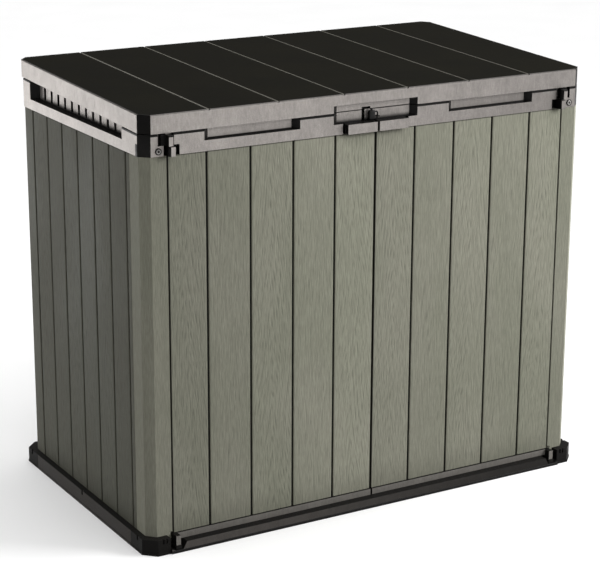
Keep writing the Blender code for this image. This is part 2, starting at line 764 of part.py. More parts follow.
def lid_rims(pivot):
    end = LID_HALF_X - LID_CHAMFER - GAP
    front = prism(rim_section(LID_FRONT_Y, LID_FRONT_Y + LID_FRONT_RIM), "x", (-end, end))
    half = CENTRE_RECESS_HALF_X
    plan = recess_plan((-half, half), LID_FRONT_Y, CENTRE_RECESS_DEPTH)
    recess = prism(plan, "z", (LID_BOTTOM - BEYOND, CENTRE_RECESS_TOP))
    slot = block(
        (TONGUE_SLOT_LEFT_X, TONGUE_SLOT_RIGHT_X),
        TONGUE_SLOT_Y,
        (LID_BOTTOM - BEYOND, TONGUE_SLOT_TOP),
    )
    cuts = [recess, slot, lid_groove_cutters()]
    piece("lid_rim_front", BEIGE, [sloped(front)], cuts, pivot=pivot)

    rear = sloped(prism(rim_section(LID_REAR_Y, LID_REAR_Y - LID_SIDE_RIM), "x", (-end, end)))
    shapes = [rear]
    for middle in LID_KNUCKLES_X:
        for direction in (-1, 1):
            near, far = LID_KNUCKLE_HALF + KNUCKLE_PLAY, LID_KNUCKLE_HALF + LID_LEAF_LENGTH
            across = sorted((middle + direction * near, middle + direction * far))
            shapes.append(block(across, (LID_REAR_Y - KNUCKLE_ROOT, LID_AXIS_Y), LID_LEAF_Z))
            shapes.append(cylinder("x", (LID_AXIS_Y, LID_AXIS_Z), LID_KNUCKLE_RADIUS, across))
    cuts = [rod_bore(), lid_groove_cutters()]
    piece("lid_rim_rear", BEIGE, shapes, cuts, pivot=pivot)

    section = rim_section(LID_HALF_X, LID_HALF_X - LID_SIDE_RIM)
    length = (LID_FRONT_Y + LID_CHAMFER + GAP, LID_REAR_Y - LID_CHAMFER - GAP)
    for name, side in SIDES:
        piece(f"lid_rim_{name}", BEIGE, [sloped(prism(section, "y", length))], side=side, pivot=pivot)


def lid_corners(pivot):
    start = LID_HALF_X - LID_CHAMFER
    thick = LID_SIDE_RIM
    front = [
        (start, LID_FRONT_Y),
        (LID_HALF_X, LID_FRONT_Y + LID_CHAMFER),
        (LID_HALF_X - thick, LID_FRONT_Y + LID_CHAMFER),
        (start, LID_FRONT_Y + thick),
    ]
    rear = [
        (start, LID_REAR_Y),
        (LID_HALF_X, LID_REAR_Y - LID_CHAMFER),
        (LID_HALF_X - thick, LID_REAR_Y - LID_CHAMFER),
        (start, LID_REAR_Y - thick),
    ]
    for where, outline in (("front", front), ("rear", rear)):
        for name, side in SIDES:
            body = sloped(prism(outline, "z", (LID_BOTTOM, LID_TOP)))
            seat = prism(
                lid_outline(LID_PANEL_INSET - GAP),
                "z",
                (LID_TOP - LID_PANEL_THICKNESS - GAP, LID_TOP + BEYOND),
            )
            piece(f"lid_corner_{where}_{name}", BLACK, [body], [sloped(seat)], side, pivot)


# ---- the doors ---------------------------------------------------------------------------


def door_panel(name, side, pivot):
    outline = grooved(DOOR_INNER_X, DOOR_OUTER_X, WALL_FRONT_Y, DOOR_BACK_Y, DOOR_GROOVES_X)
    panel = prism(outline, "z", (DOOR_BOTTOM_TRIM_TOP + GAP, WALL_TOP))
    piece(f"door_panel_{name}", GREEN, [panel], side=side, pivot=pivot)


def door_bottom_trim(name, side, pivot):
    bar = block(
        (DOOR_INNER_X, DOOR_OUTER_X),
        (DOOR_BOTTOM_TRIM_FRONT_Y, DOOR_BACK_Y),
        (DOOR_BOTTOM, DOOR_BOTTOM_TRIM_TOP),
    )
    knuckle = block(KNUCKLE_X, (KNUCKLE_FRONT_Y, KNUCKLE_BACK_Y), KNUCKLE_Z)
    bore = hinge_bore(KNUCKLE_Z)
    piece(f"door_bottom_trim_{name}", BEIGE, [bar, knuckle], [bore], side, pivot)


def door_top_trim(name, side, pivot):
    bottom, back = HEADER_BOTTOM, DOOR_BACK_Y
    outline = [
        (DOOR_INNER_X, bottom),
        (TRIM_LOWER_END_X, bottom),
        (TRIM_LOWER_END_X, POCKET_STEP_Z),
        (TRIM_UPPER_END_X, POCKET_STEP_Z),
        (TRIM_UPPER_END_X, TRIM_TOP),
        (DOOR_INNER_X, TRIM_TOP),
    ]
    rail = prism(outline, "y", (HEADER_FRONT_Y, back))
    across = (TRIM_LOWER_END_X - PLATE_OVERLAP, DOOR_OUTER_X)
    plate = block(across, (POCKET_BACK_Y, back), (bottom, TRIM_TOP))
    leaf = block(LEAF_X, (HINGE_FRONT_Y, POCKET_BACK_Y + LEAF_ROOT), (bottom, LEAF_TOP))
    boss = cylinder("z", (HINGE_X, HINGE_Y), BOSS_RADIUS, (bottom, LEAF_TOP))
    bore = hinge_bore((bottom, LEAF_TOP))
    high = TRIM_TOP + BEYOND
    fingers = prism(
        recess_plan(FINGER_RECESS_X, HEADER_FRONT_Y, FINGER_RECESS_DEPTH), "z", (RECESS_FLOOR, high)
    )
    half = CENTRE_RECESS_HALF_X
    centre = prism(
        recess_plan((-half, half), HEADER_FRONT_Y, CENTRE_RECESS_DEPTH), "z", (RECESS_FLOOR, high)
    )
    notch = block(
        (PULL_OUTER_X, PULL_NOTCH_X),
        (HEADER_FRONT_Y - BEYOND, HEADER_FRONT_Y + PULL_NOTCH_DEPTH),
        (bottom - BEYOND, RECESS_FLOOR + CUT_OVERLAP),
    )
    tongue_back = HEADER_FRONT_Y + CENTRE_RECESS_DEPTH + TONGUE_THICKNESS + GAP
    front = HEADER_FRONT_Y - BEYOND
    if side < 0:
        # Open right through, so that the tongue passes as either door swings.
        seat = block((0.0, -TONGUE_SLOT_LEFT_X), (front, back + BEYOND), (RECESS_FLOOR, high))
    else:
        seat = block((0.0, TONGUE_X[1] + GAP), (front, tongue_back), (RECESS_FLOOR, high))
    cuts = [bore, fingers, centre, notch, seat]
    piece(f"door_top_trim_{name}", BEIGE, [rail, plate, leaf, boss], cuts, side, pivot)


def door_pull(name, side, pivot):
    pull = block(
        (DOOR_INNER_X, PULL_OUTER_X), (PULL_FRONT_Y, HEADER_FRONT_Y - GAP), (PULL_BOTTOM, PULL_TOP)
    )
    piece(f"door_pull_{name}", BEIGE, [pull], side=side, pivot=pivot)


def lock_tongue(pivot):
    """A plate that rises into the lid's slot, with a lug for the padlock's shackle."""
    front = HEADER_FRONT_Y + CENTRE_RECESS_DEPTH
    back = front + TONGUE_THICKNESS
    outline = [
        (TONGUE_X[0], RECESS_FLOOR + GAP),
        (TONGUE_X[1], RECESS_FLOOR + GAP),
        (TONGUE_X[1], TRIM_TOP),
        (TONGUE_HEAD_RIGHT_X, TRIM_TOP),
        (TONGUE_HEAD_RIGHT_X, TONGUE_HEAD_TOP),
        (TONGUE_X[0], TONGUE_HEAD_TOP),
    ]
    plate = prism(outline, "y", (front, back))
    lug = block(LUG_X, (LUG_FRONT_Y, front + CUT_OVERLAP), LUG_Z)
    through = (LUG_Z[0] - CUT_OVERLAP, LUG_Z[1] + CUT_OVERLAP)
    hole = cylinder("z", (SHACKLE_X, PADLOCK_Y), LUG_HOLE_RADIUS, through, 20)
    piece("lock_tongue", BEIGE, [plate, lug], [hole], pivot=pivot)


# ---- the padlock -------------------------------------------------------------------------


def padlock(shackle_pivot, body_pivot):
    low, high = SHACKLE_LEG_Z
    legs_in = PADLOCK_X[0] + SHACKLE_END
    middle = sum(PADLOCK_X) / 2
    body = block(
        PADLOCK_X, (PADLOCK_Y - PADLOCK_HALF_Y, PADLOCK_Y + PADLOCK_HALF_Y), PADLOCK_Z
    )
    nub_z = (PADLOCK_Z[1] - CUT_OVERLAP, NUB_TOP)
    nub = cylinder("z", (middle, PADLOCK_Y), NUB_RADIUS, nub_z, 16)
    bore_radius = SHACKLE_RADIUS + SHACKLE_PLAY
    bore_x = (legs_in - 2 * SHACKLE_PLAY, PADLOCK_X[1] + BEYOND)
    bores = together([cylinder("x", (PADLOCK_Y, z), bore_radius, bore_x, 16) for z in (low, high)])
    piece("padlock_body", LOCK, [body, nub], [bores], pivot=body_pivot)

    curve = bpy.data.curves.new("shackle", "CURVE")
    curve.dimensions = "3D"
    curve.bevel_depth = SHACKLE_RADIUS
    curve.bevel_resolution = 2
    curve.use_fill_caps = True
    quarter = [math.pi / 2 * step / 6 for step in range(7)]
    bend = [
        (SHACKLE_X - SHACKLE_BEND * (1 - math.sin(a)), SHACKLE_BEND * (1 - math.cos(a)))
        for a in quarter
    ]
    lower = [(x, low + rise) for x, rise in bend]
    upper = [(x, high - rise) for x, rise in reversed(bend)]
    route = [(legs_in, low)] + lower + upper + [(legs_in, high)]
    spline = curve.splines.new("POLY")
    spline.points.add(len(route) - 1)
    for point, (x, z) in zip(spline.points, route):
        point.co = (x, PADLOCK_Y, z, 1.0)
    wire = bpy.data.objects.new("shackle_curve", curve)
    PARTS.objects.link(wire)
    graph = bpy.context.evaluated_depsgraph_get()
    mesh = bpy.data.meshes.new_from_object(wire.evaluated_get(graph))
    bpy.data.objects.remove(wire)
    shape = bmesh.new()
    shape.from_mesh(mesh)
    bpy.data.meshes.remove(mesh)
    bmesh.ops.remove_doubles(shape, verts=shape.verts, dist=0.00001)
    round_off(piece("padlock_shackle", LOCK, [shape], pivot=shackle_pivot))


# ---- the lid's hinge rod and struts -------------------------------------------------------


def along_strut(shape):
    """Stand a shape made along +Z from the origin on the line from the wall pivot to the lid pivot."""
    rise = Vector((0.0, STRUT_LID_Y - STRUT_WALL_Y, STRUT_LID_Z - STRUT_WALL_Z))
    lean = math.atan2(rise.y, rise.z)
    place = Matrix.Translation((STRUT_X, STRUT_WALL_Y, STRUT_WALL_Z))
    shape.transform(place @ Matrix.Rotation(-lean, 4, "X"))
    return shape


def strut_cylinder(name, side, pivot):
    span = (STRUT_EYE_HALF, 2 * BEYOND)
    across = (-2 * BEYOND, 2 * BEYOND)
    height = (-2 * BEYOND, STRUT_FLAT_END)
    tube = cylinder("z", (0.0, 0.0), STRUT_TUBE_RADIUS, (STRUT_ROD_RADIUS, STRUT_TUBE_LENGTH))
    eye = cylinder("x", (0.0, 0.0), STRUT_EYE_RADIUS, (-STRUT_EYE_HALF, STRUT_EYE_HALF))
    outer_flat = block(span, across, height)
    inner_flat = block((-span[1], -span[0]), across, height)
    hole = cylinder("x", (0.0, 0.0), BORE_RADIUS, across, 16)
    bore_span = (STRUT_BORE_START, STRUT_TUBE_LENGTH + BEYOND)
    bore = cylinder("z", (0.0, 0.0), STRUT_ROD_RADIUS + STRUT_BORE_PLAY, bore_span, 20)
    shapes = [along_strut(tube), along_strut(eye)]
    cuts = [along_strut(together([outer_flat, inner_flat])), along_strut(hole), along_strut(bore)]
    round_off(piece(f"strut_cylinder_{name}", STEEL, shapes, cuts, side, pivot))


def strut_rod(name, side, pivot):
    reach = math.hypot(STRUT_LID_Y - STRUT_WALL_Y, STRUT_LID_Z - STRUT_WALL_Z)
    across = (-2 * BEYOND, 2 * BEYOND)
    span = (STRUT_ROD_START, reach - STRUT_ROD_RADIUS)
    shaft = cylinder("z", (0.0, 0.0), STRUT_ROD_RADIUS, span, 20)
    ring = cylinder("x", (0.0, reach), ROD_EYE_RADIUS, (-ROD_EYE_HALF, ROD_EYE_HALF))
    eyelet = cylinder("x", (0.0, reach), ROD_EYE_BORE, across, 16)
    shapes = [along_strut(shaft), along_strut(ring)]
    round_off(piece(f"strut_rod_{name}", STEEL, shapes, [along_strut(eyelet)], side, pivot))


def lid_supports(lid_pivot, tube_pivots):
    rod = cylinder("x", (LID_AXIS_Y, LID_AXIS_Z), PIN_RADIUS, (-ROD_HALF, ROD_HALF))
    round_off(piece("lid_hinge_rod", STEEL, [rod]))
    wall = WALL_HALF_X - WALL_THICKNESS - GAP
    rim = LID_HALF_X - LID_SIDE_RIM - GAP
    for name, side in SIDES:
        base = block(
            (WALL_BRACKET_INNER_X, wall),
            (STRUT_WALL_Y - WALL_BRACKET_HALF_Y, STRUT_WALL_Y + WALL_BRACKET_HALF_Y),
            (STRUT_WALL_Z - WALL_BRACKET_HALF_Z, STRUT_WALL_Z + WALL_BRACKET_HALF_Z),
        )
        pin = cylinder("x", (STRUT_WALL_Y, STRUT_WALL_Z), PIN_RADIUS, WALL_BRACKET_PIN_X)
        piece(f"strut_wall_bracket_{name}", BLACK, [base, pin], side=side)

        across = (STRUT_LID_Y - LID_BRACKET_HALF_Y, STRUT_LID_Y + LID_BRACKET_HALF_Y)
        plate = block((LID_BRACKET_INNER_X, rim), across, LID_BRACKET_Z)
        stud = cylinder("x", (STRUT_LID_Y, STRUT_LID_Z), LID_STUD_RADIUS, LID_STUD_X)
        piece(f"strut_lid_bracket_{name}", BLACK, [plate, stud], side=side, pivot=lid_pivot)

        strut_cylinder(name, side, tube_pivots[name])
        strut_rod(name, side, tube_pivots[name])


# ---- build -------------------------------------------------------------------------------

clear_scene()
PARTS = collection("deck_storage_box")
CUTTERS = collection("deck_storage_box_cutters")

GREEN = plastic("green_plank", (0.175, 0.180, 0.140), 0.62)
BEIGE = plastic("beige_trim", (0.420, 0.390, 0.350), 0.55)
BLACK = plastic("black_plastic", (0.018, 0.016, 0.015), 0.45)
STEEL = plastic("dark_steel", (0.060, 0.060, 0.060), 0.38, 0.85)
LOCK = plastic("black_lock", (0.020, 0.020, 0.020), 0.40, 0.30)

floor_panel()
base_side_rails()
base_front_rail()
base_rear_rail()
base_corners()
side_walls()
rear_wall()
corner_posts()
header_sides()
header_rear()
header_corners()
hinge_hardware()

lid_axis = pivot_at("lid_axis", (0.0, LID_AXIS_Y, LID_AXIS_Z))
lid_top_panel(lid_axis)
lid_rims(lid_axis)
lid_corners(lid_axis)

door_axes = {
    name: pivot_at(f"{name}_door_axis", (side * HINGE_X, HINGE_Y, WALL_TOP / 2))
    for name, side in SIDES
}
for name, side in SIDES:
    door_panel(name, side, door_axes[name])
    door_bottom_trim(name, side, door_axes[name])
    door_top_trim(name, side, door_axes[name])
    door_pull(name, side, door_axes[name])
lock_tongue(door_axes["right"])

shackle_middle = sum(SHACKLE_LEG_Z) / 2
shackle_axis = pivot_at("padlock_axis", (SHACKLE_X, PADLOCK_Y, shackle_middle), door_axes["right"])
body_axis = pivot_at("padlock_slide", (PADLOCK_X[1], PADLOCK_Y, shackle_middle), shackle_axis)
padlock(shackle_axis, body_axis)

strut_axes = {
    name: pivot_at(f"{name}_strut_axis", (side * STRUT_X, STRUT_WALL_Y, STRUT_WALL_Z))
    for name, side in SIDES
}
lid_supports(lid_axis, strut_axes)
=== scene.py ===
"""Looks for the deck storage box: plank walls, coated trim, black lid, studio light and camera.

Metres, in the CAD model's frame: +Z up and the doors face -Y. The frame supplies every size it can.
"""

import json
import math

import bmesh
import bpy
import numpy as np
from mathutils import Matrix, Vector

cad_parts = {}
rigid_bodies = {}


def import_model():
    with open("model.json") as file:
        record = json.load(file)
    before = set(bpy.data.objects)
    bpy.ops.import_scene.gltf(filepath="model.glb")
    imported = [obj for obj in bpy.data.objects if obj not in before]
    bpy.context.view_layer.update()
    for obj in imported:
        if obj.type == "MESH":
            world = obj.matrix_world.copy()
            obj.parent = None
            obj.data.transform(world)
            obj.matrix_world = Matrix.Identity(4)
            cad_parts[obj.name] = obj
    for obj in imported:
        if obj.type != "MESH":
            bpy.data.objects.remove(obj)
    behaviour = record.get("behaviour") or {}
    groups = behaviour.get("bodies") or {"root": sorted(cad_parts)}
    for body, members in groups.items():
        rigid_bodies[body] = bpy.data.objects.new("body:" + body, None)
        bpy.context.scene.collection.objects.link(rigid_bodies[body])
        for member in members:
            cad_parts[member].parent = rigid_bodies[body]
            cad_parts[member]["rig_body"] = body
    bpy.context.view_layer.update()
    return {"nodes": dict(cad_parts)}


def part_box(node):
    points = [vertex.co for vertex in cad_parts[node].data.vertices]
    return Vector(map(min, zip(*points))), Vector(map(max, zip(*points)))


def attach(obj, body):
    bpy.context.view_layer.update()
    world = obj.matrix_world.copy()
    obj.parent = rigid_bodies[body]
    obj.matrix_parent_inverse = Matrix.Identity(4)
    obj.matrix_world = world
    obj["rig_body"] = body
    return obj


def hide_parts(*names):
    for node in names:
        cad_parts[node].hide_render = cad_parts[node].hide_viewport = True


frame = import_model()
NODES = frame["nodes"]
SIDES = (("left", -1), ("right", 1))

# ---- sizes taken from the frame ------------------------------------------------------------
LID_LOW, LID_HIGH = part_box("lid_top_panel")
FRONT_RIM_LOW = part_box("lid_rim_front")[0]
FRONT_EDGE = [v.co for v in NODES["lid_top_panel"].data.vertices if v.co.y < LID_LOW.y + 0.0005]
LID_FRONT_TOP = max(point.z for point in FRONT_EDGE)
SLOPE = (LID_HIGH.z - LID_FRONT_TOP) / (LID_HIGH.y - LID_LOW.y)
PULL_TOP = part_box("door_pull_left")[1].z
TRIM_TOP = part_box("door_top_trim_left")[1].z
PLANK_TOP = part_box("door_panel_left")[1].z
TOP_AT_CENTRE = LID_FRONT_TOP - SLOPE * LID_LOW.y
SEAM_SHADE_FROM = TRIM_TOP - 0.0049  # where the painted shade along the seam between trim and lid begins

# ---- sizes of what only the visual model has -------------------------------------------------
PLANK_PITCH = 0.0020  # between two columns of a plank's mesh
ROW_PITCH = 0.0080
GROOVE_HALF = 0.0035
GROOVE_WALL = 0.0004  # how far in from its edge a groove reaches its depth
GROOVE_DEPTH = 0.0042
GRAIN_DEPTH = 0.00050
GRAIN_MARGIN = 0.0040  # beside a groove, where the grain fades out
PLANK_ROUNDING = (0.0018, 0.0010)  # how wide and how deep a plank's edge is rounded
INNER_GROOVE = (0.0040, 0.0020, 0.0025)  # half width at its mouth and floor, and depth
DOOR_GROOVES = (0.1280, 0.2584, 0.3888, 0.5190)
SIDE_GROOVES = [0.0069 + 0.1018 * number for number in range(-3, 3)] + [0.3105]
REAR_GROOVES = [0.1412 * number for number in range(-4, 5)]
# Painted light and shade on the plank walls: the left door lighter towards the middle, the side and
# rear walls darker.
DOOR_SHADES = {"left": (1.27, 0.98), "right": (1.07, 1.06)}  # of the first and last plank
SIDE_SHADES = (0.52, 0.52)
REAR_SHADES = (0.80, 0.80)
EDGE_BEVEL = 0.0007
RIB_HALF = 0.0015
RIB_HEIGHT = 0.016
RIB_TOP_BELOW_LID = 0.0095
SHACKLE_BEND = 0.0045
NUB_RADIUS = 0.0034
NUB_HEIGHT = 0.0058
LOCK_ROUNDING = 0.0032


# ---- materials -----------------------------------------------------------------------------


class Surface:
    """One material. Each method adds a node and returns its output."""

    def __init__(self, name, roughness, specular, metallic=0.0):
        self.material = bpy.data.materials.new(name)
        self.material.use_nodes = True
        self.tree = self.material.node_tree
        self.shader = self.tree.nodes["Principled BSDF"]
        self.shader.inputs["Metallic"].default_value = metallic
        self.shader.inputs["Specular IOR Level"].default_value = specular
        self.base_roughness = roughness
        place = self.tree.nodes.new("ShaderNodeTexCoord")
        self.position = place.outputs["Object"]
        self.facing = place.outputs["Normal"]

    def add(self, kind, values, output=0, **settings):
        node = self.tree.nodes.new("ShaderNode" + kind)
        for key, value in settings.items():
            setattr(node, key, value)
        for key, value in values.items():
            if isinstance(value, bpy.types.NodeSocket):
                self.tree.links.new(value, node.inputs[key])
            else:
                node.inputs[key].default_value = value
        return node.outputs[output]

    def maths(self, operation, *values):
        return self.add("Math", dict(enumerate(values)), operation=operation)

    def axes(self, vector):
        x = self.add("SeparateXYZ", {0: vector})
        return x, x.node.outputs[1], x.node.outputs[2]

    def noise(self, scale, detail=3.0, shift=0.0):
        moved = self.add(
            "VectorMath",
            {0: self.position, 1: scale, 2: (shift, shift, shift)},
            operation="MULTIPLY_ADD",
        )
        return self.add("TexNoise", {"Vector": moved, "Scale": 1.0, "Detail": detail})

    def ramp(self, value, low, high, start=0.0, end=1.0):
        """start below low, end above high, and a smooth change between them."""
        values = {0: value, 1: low, 2: high, 3: start, 4: end}
        return self.add("MapRange", values, interpolation_type="SMOOTHSTEP")

    def mix(self, share, first, second):
        return self.add("Mix", {0: share, 6: first, 7: second}, output=2, data_type="RGBA")

    def shade(self, colour, amount):
        """The colour multiplied by an amount."""
        colour = colour[:3] if isinstance(colour, tuple) else colour
        return self.add("VectorMath", {0: colour, "Scale": amount}, operation="SCALE")

    def attribute(self, name):
        return self.add("Attribute", {}, output="Fac", attribute_name=name)

    def finish(self, colour, uneven, relief, depth):
        """Sets colour, roughness that varies by a noise, and relief of a depth in metres."""
        rough = self.ramp(uneven, 0.25, 0.75, self.base_roughness - 0.07, self.base_roughness + 0.07)
        bump = self.add("Bump", {"Height": relief, "Strength": 1.0, "Distance": depth})
        for name, socket in (("Base Color", colour), ("Roughness", rough), ("Normal", bump)):
            self.tree.links.new(socket, self.shader.inputs[name])
        return self.material


def rgb(red, green, blue):
    return (red, green, blue, 1.0)


def straight(surface):
    """1 on faces square to an axis and 0 on the small bevels between them."""
    x, y, z = (surface.maths("ABSOLUTE", axis) for axis in surface.axes(surface.facing))
    largest = surface.maths("MAXIMUM", surface.maths("MAXIMUM", x, y), z)
    return surface.ramp(largest, 0.86, 0.97)


def outward(surface, side_from):
    """Two masks. The first is 1 on the upright faces that look away from the box: front and rear
    faces, and side faces that are further than side_from from its middle. The second is 1 on
    those side faces only."""
    nx, ny, _ = surface.axes(surface.facing)
    x, y, _ = surface.axes(surface.position)
    out_x = surface.maths("MULTIPLY", nx, surface.maths("SIGN", x))
    out_y = surface.maths("MULTIPLY", ny, surface.maths("SIGN", y))
    far_out = surface.maths("GREATER_THAN", surface.maths("ABSOLUTE", x), side_from)
    side = surface.maths("MULTIPLY", surface.ramp(out_x, 0.90, 0.97), far_out)
    front = surface.ramp(out_y, 0.90, 0.97)
    return surface.maths("MAXIMUM", side, front), side


GREENS = (rgb(0.262, 0.264, 0.206), rgb(0.275, 0.272, 0.218))
GROOVE_HIGHLIGHT = rgb(0.34, 0.33, 0.30)  # painted highlight in the lid's grooves, where their walls catch the light
# Black: bare resin where the coat is off, and painted shade in the recesses, the tongue's slot, on
# the pulls' step and along the lid's seam.
BARE_RESIN_AND_SHADE = rgb(0.0065, 0.0060, 0.0056)

# Where the coat and its painted shade change on the trim: positions in metres between which a mask
# goes from 0 to 1.
FRONT_FACE = (-0.3965, -0.3985)
FRONT_MOUTH = (-0.3975, -0.3935)
FRONT_FLOOR = (-0.360, -0.365)
SIDE_FACE = (0.7035, 0.7050)
VENT_MOUTH = (0.7035, 0.6995)
CENTRE_RECESS_END = 0.2
FALL_REACH = 0.72  # on either side of the middle
# Painted light: how much lighter the coat's side faces are, and again towards their rear end.
SIDE_REACH = (-0.36, 0.42)
SIDE_GAIN = 1.12  # how much lighter a side face is, and again at its rear end


def green_planks(name, tones=None):
    """Grained resin. A moulded piece carries as attributes its grain, the painted shade of its
    grooves and its plank tones with painted light and shade.
    tones: painted light and shade, how light a plain piece is on its front or rear faces and on its
    side faces."""
    s = Surface(name, 0.60, 0.16)
    streak = s.noise((400.0, 400.0, 34.0), 4.0)
    fibre = s.noise((1100.0, 1100.0, 60.0), 3.0, 7.0)
    cloud = s.noise((5.0, 5.0, 2.2), 4.0, 3.0)
    light = s.ramp(streak, 0.30, 0.72, 0.89, 1.10)
    light = s.maths("MULTIPLY", light, s.ramp(fibre, 0.30, 0.70, 0.93, 1.06))
    light = s.maths("MULTIPLY", light, s.ramp(cloud, 0.30, 0.70, 0.95, 1.05))
    if tones is None:
        light = s.maths("MULTIPLY", light, s.ramp(s.attribute("grain"), 0.0, 1.0, 1.04, 0.72))
        # Painted shade: the grooves, and the ends of the doors, darkened nearly to black.
        light = s.maths("MULTIPLY", light, s.ramp(s.attribute("groove"), 0.0, 1.0, 1.0, 0.03))
        # Painted light and shade across each wall, with a small random tone per plank.
        light = s.maths("MULTIPLY", light, s.attribute("tone_and_shade"))
        height = s.axes(s.position)[2]
        # Painted shade: the planks darker towards their bottom, above the bottom trim.
        light = s.maths("MULTIPLY", light, s.ramp(height, 0.045, 0.13, 0.80, 1.0))
        shadow = s.ramp(height, PLANK_TOP - 0.0035, PLANK_TOP - 0.0015, 1.0, 0.35)
        light = s.maths("MULTIPLY", light, shadow)
    else:
        # Painted light and shade by which way a face looks.
        toward_side = s.maths("ABSOLUTE", s.axes(s.facing)[0])
        light = s.maths("MULTIPLY", light, s.ramp(toward_side, 0.30, 0.70, *tones))
    # Painted highlight: bevels and other slanting faces 12% lighter than the flat faces.
    light = s.maths("MULTIPLY", light, s.ramp(straight(s), 0.0, 1.0, 1.12, 1.0))
    tint = s.mix(s.ramp(cloud, 0.35, 0.65), *GREENS)
    relief = s.maths("ADD", streak, s.maths("MULTIPLY", fibre, 0.4))
    return s.finish(s.shade(tint, light), cloud, relief, 0.0009)


def coated_trim(
    name,
    coat,
    metallic,
    roughness,
    side_from=0.69,
    recess_floor=None,
    edges=0.0,
    gap=None,
    bare=(),
    fall=None,
):
    """Black resin with a brushed warm grey coat on the faces that look outward.
    recess_floor: in the recesses of the front and in the side vents, painted shade darkens the coat
    to black towards this height.
    edges: how much of the coat is painted on the bevelled top edge, as a painted highlight. gap:
    above this height, at the front and rising to the rear, an outer face is left black, as painted
    shade
    along the seam with the lid. bare: (axis, low, high) ranges left black.
    fall: painted light and shade, how light the coat is at the left and right ends of the box on its
    front faces; with it the side faces are painted lighter, more so towards the rear."""
    s = Surface(name, roughness, 0.12, metallic)
    x, y, z = s.axes(s.position)
    cloud = s.noise((26.0, 26.0, 12.0), 5.0)
    blotch = s.noise((150.0, 150.0, 50.0), 4.0, 5.0)
    speck = s.noise((620.0, 620.0, 420.0), 3.0, 9.0)
    scratch = s.noise((900.0, 900.0, 45.0), 3.0, 2.0)
    light = s.ramp(cloud, 0.30, 0.70, 0.93, 1.06)
    light = s.maths("MULTIPLY", light, s.ramp(blotch, 0.30, 0.70, 0.92, 1.07))
    light = s.maths("MULTIPLY", light, s.ramp(speck, 0.30, 0.75, 0.88, 1.10))
    light = s.maths("MULTIPLY", light, s.ramp(scratch, 0.30, 0.72, 0.93, 1.06))
    shown, side = outward(s, side_from)
    # Painted highlight: part of the coat on the bevelled top edge.
    if edges:
        shown = s.maths("MAXIMUM", shown, s.maths("MULTIPLY", top_edge(s), edges))
    # Painted shade: in the recesses and vents the coat goes black towards their floor.
    if recess_floor is not None:
        in_front = s.maths("MULTIPLY", s.ramp(y, *FRONT_MOUTH), s.ramp(y, *FRONT_FLOOR))
        in_side = s.maths("MULTIPLY", s.ramp(s.maths("ABSOLUTE", x), *VENT_MOUTH), side)
        soft = s.ramp(z, recess_floor + 0.001, recess_floor + 0.013, 1.0, 0.0)
        crisp = s.ramp(z, recess_floor + 0.0045, recess_floor + 0.0060, 1.0, 0.0)
        off_centre = s.maths("GREATER_THAN", s.maths("ABSOLUTE", x), CENTRE_RECESS_END)
        in_finger = s.maths("MULTIPLY", in_front, off_centre)
        low = s.mix(in_finger, s.shade((1.0, 1.0, 1.0), soft), s.shade((1.0, 1.0, 1.0), crisp))
        low = s.axes(low)[0]
        fade = s.maths("MULTIPLY", s.maths("MAXIMUM", in_front, in_side), low)
        shown = s.maths("MULTIPLY", shown, s.maths("SUBTRACT", 1.0, fade))
    # Painted shade: the coat left off above this height, widening the dark seam with the lid.
    if gap is not None:
        behind_rim = s.maths("SUBTRACT", y, FRONT_RIM_LOW.y)
        limit = s.maths("ADD", gap, s.maths("MULTIPLY", behind_rim, SLOPE))
        above = s.maths("SUBTRACT", z, limit)
        at_side = s.ramp(s.maths("ABSOLUTE", x), *SIDE_FACE)
        at_face = s.maths("MAXIMUM", s.ramp(y, *FRONT_FACE), at_side)
        seam_shade = s.maths("MULTIPLY", s.ramp(above, -0.0001, 0.0002), at_face)
        shown = s.maths("MULTIPLY", shown, s.maths("SUBTRACT", 1.0, seam_shade))
    for ranges in bare:
        inside = 1.0
        for axis, low, high in ranges:
            value = {"x": x, "y": y, "z": z, "away": s.maths("ABSOLUTE", x)}[axis]
            past, short = s.maths("GREATER_THAN", value, low), s.maths("LESS_THAN", value, high)
            inside = s.maths("MULTIPLY", inside, s.maths("MULTIPLY", past, short))
        shown = s.maths("MULTIPLY", shown, s.maths("SUBTRACT", 1.0, inside))
    if fall is not None:
        # Painted shade falling across the front faces, and painted light on the side faces.
        at_front = s.maths("SUBTRACT", 1.0, side)
        less = s.maths("SUBTRACT", 1.0, s.ramp(x, -FALL_REACH, FALL_REACH, *fall))
        painted_front_shade = s.maths("SUBTRACT", 1.0, s.maths("MULTIPLY", at_front, less))
        light = s.maths("MULTIPLY", light, painted_front_shade)
        light = s.maths("MULTIPLY", light, s.ramp(side, 0.0, 1.0, 1.0, SIDE_GAIN))
        light = s.maths("MULTIPLY", light, s.ramp(y, *SIDE_REACH, 1.0, SIDE_GAIN))
    colour = s.mix(shown, BARE_RESIN_AND_SHADE, s.shade(coat, light))
    s.tree.links.new(s.maths("MULTIPLY", shown, metallic), s.shader.inputs["Metallic"])
    height = s.maths("ADD", speck, s.maths("MULTIPLY", scratch, 0.6))
    return s.finish(colour, blotch, height, 0.0004)


def top_edge(surface):
    """1 on the slanting faces between an outer face and the top."""
    nx, ny, nz = surface.axes(surface.facing)
    squares = [surface.maths("MULTIPLY", axis, axis) for axis in (nx, ny)]
    level = surface.maths("POWER", surface.maths("ADD", *squares), 0.5)
    return surface.maths("MULTIPLY", surface.ramp(level, 0.45, 0.60), surface.ramp(nz, 0.35, 0.50))


